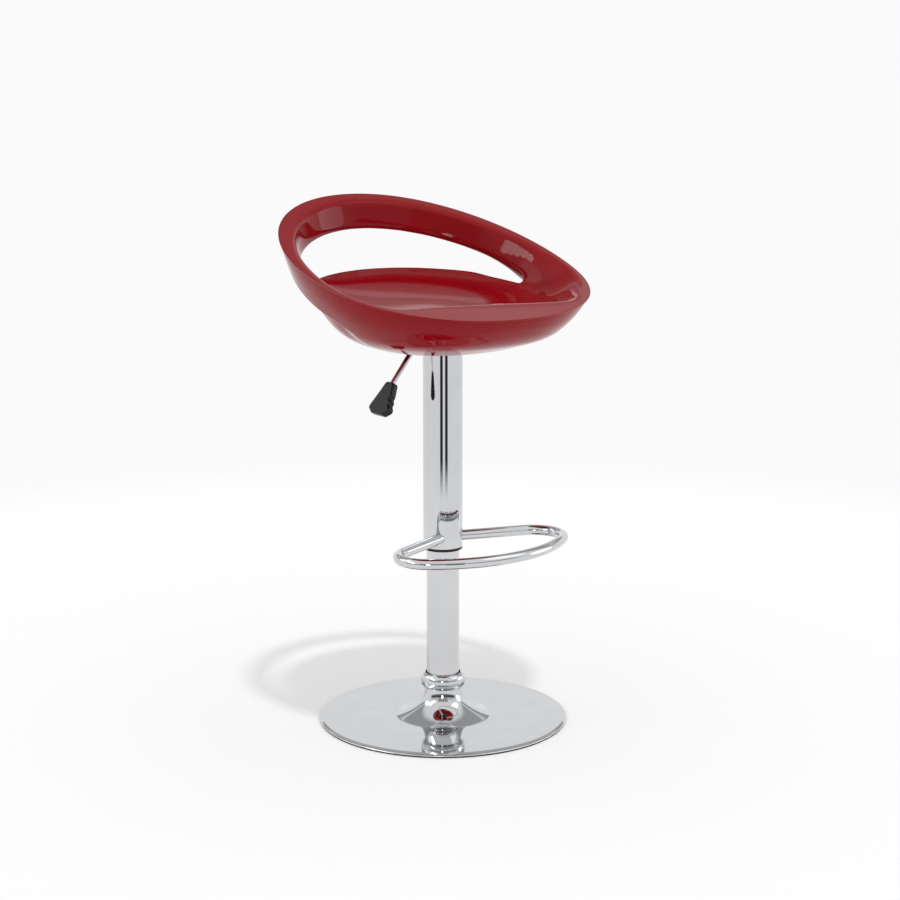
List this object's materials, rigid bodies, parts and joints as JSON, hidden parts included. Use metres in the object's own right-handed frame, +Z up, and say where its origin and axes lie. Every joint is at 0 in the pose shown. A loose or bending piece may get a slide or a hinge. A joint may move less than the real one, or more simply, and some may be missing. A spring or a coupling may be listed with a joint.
{
  "type": "adjustable swivel stool",
  "caption": "Height-adjustable swivel stool: glossy red scooped seat with an open low back on a chrome gas-lift column, loop footrest and round weighted base",
  "frame": {"origin": "on the floor at the centre of the round base, on the swivel axis", "axes": "+Z up along the column, -Y towards the front of the seat, where the footrest is, and -X towards the lever"},
  "size_m": [0.4672, 0.4367, 0.79],
  "materials": {
    "red_shell": "glossy moulded plastic",
    "chrome": "bright chrome plate",
    "steel": "bare steel",
    "black_steel": "black coated steel",
    "iron": "raw casting",
    "black_plastic": "satin black",
    "rubber": "matt",
    "brass": "turned"
  },
  "bodies": {
    "base": {"floor_ring": "rubber", "base_cover": "chrome", "base_weight": "iron", "foot_flange": "steel", "base_screws": "steel", "base_bell": "chrome", "base_collar": "chrome", "lower_tube": "chrome", "bearing_plate": "steel", "lower_race": "steel", "top_bush": "black_plastic"},
    "bearing_cage": {"ball_cage": "brass", "bearing_balls": "steel"},
    "spindle": {"piston_rod": "steel", "piston": "black_plastic", "piston_seal": "rubber", "upper_race": "steel", "rod_washer": "steel", "rod_clip": "steel", "bump_stop": "rubber"},
    "lift": {"gas_cylinder": "black_steel", "cylinder_gland": "black_plastic", "sleeve": "chrome", "sleeve_bush": "black_plastic", "sleeve_ring": "steel", "taper_socket": "steel", "lever_housing": "black_steel", "seat_plate": "black_steel", "pivot_pin": "steel", "seat_bolts": "steel", "bolt_washers": "steel", "threaded_inserts": "brass", "seat_lower_shell": "red_shell", "seat_upper_shell": "red_shell", "footrest": "chrome"},
    "lever": {"lever_rod": "chrome", "lever_handle": "black_plastic"},
    "valve": {"valve_button": "steel"}
  },
  "joints": [
    {"name": "seat_swivel", "type": "hinge", "parent": "base", "child": "spindle", "pos_m": [0, 0, 0.0384], "axis": [0, 0, 1], "continuous": true},
    {"name": "cage_turn", "type": "hinge", "parent": "base", "child": "bearing_cage", "pos_m": [0, 0, 0.0354], "axis": [0, 0, 1], "continuous": true},
    {"name": "seat_lift", "type": "slide", "parent": "spindle", "child": "lift", "axis": [0, 0, 1], "range_m": [-0.06, 0.14]},
    {"name": "lever_lift", "type": "hinge", "parent": "lift", "child": "lever", "pos_m": [-0.03, 0, 0.584], "axis": [0, 1, 0], "range_deg": [0, 8], "stiffness_Nm_per_rad": 0.6},
    {"name": "valve_press", "type": "slide", "parent": "lift", "child": "valve", "axis": [0, 0, -1], "range_m": [0, 0.0048]}
  ],
  "couplings": [
    {"joint": "cage_turn", "follows": "seat_swivel", "ratio": 0.5},
    {"joint": "valve_press", "follows": "lever_lift", "m_per_rad": 0.034}
  ]
}
